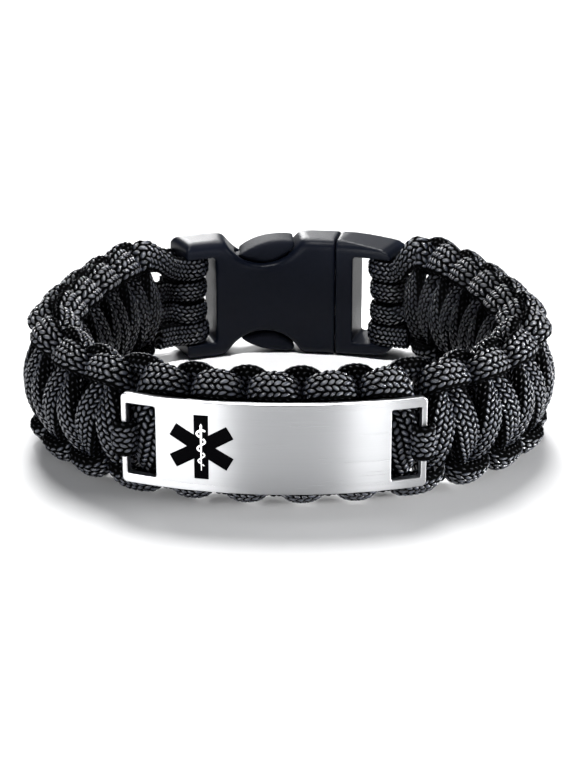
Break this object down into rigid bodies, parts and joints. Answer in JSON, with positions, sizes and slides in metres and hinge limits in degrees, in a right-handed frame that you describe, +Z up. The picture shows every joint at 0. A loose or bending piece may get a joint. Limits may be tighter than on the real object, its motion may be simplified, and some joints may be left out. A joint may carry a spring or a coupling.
{
  "type": "medical alert bracelet",
  "caption": "Wrist bracelet of knotted black cord with a curved steel identity plate that carries a medical star, closed by a side-release buckle.",
  "frame": {"origin": "on the surface that the bracelet stands on, under the middle of its box", "axes": "+Z up across the band's width, along the axis of the loop; -Y towards the identity plate; +Y towards the buckle; +X to the right for someone who faces the plate"},
  "size_m": [0.0854, 0.084, 0.022],
  "materials": {
    "cord": "braided nylon with a slight sheen",
    "plate": "fine brushing along its length",
    "star": "black enamel",
    "buckle": "fine moulded grain"
  },
  "bodies": {
    "root": {"outer_cord": "cord", "inner_cord": "cord", "core_cord_upper": "cord", "core_cord_lower": "cord", "tag_loop_left": "cord", "tag_loop_right": "cord", "identity_plate": "plate", "enamel_star": "star", "staff_sign": "plate", "buckle_socket": "buckle", "buckle_plug": "buckle"}
  },
  "joints": []
}
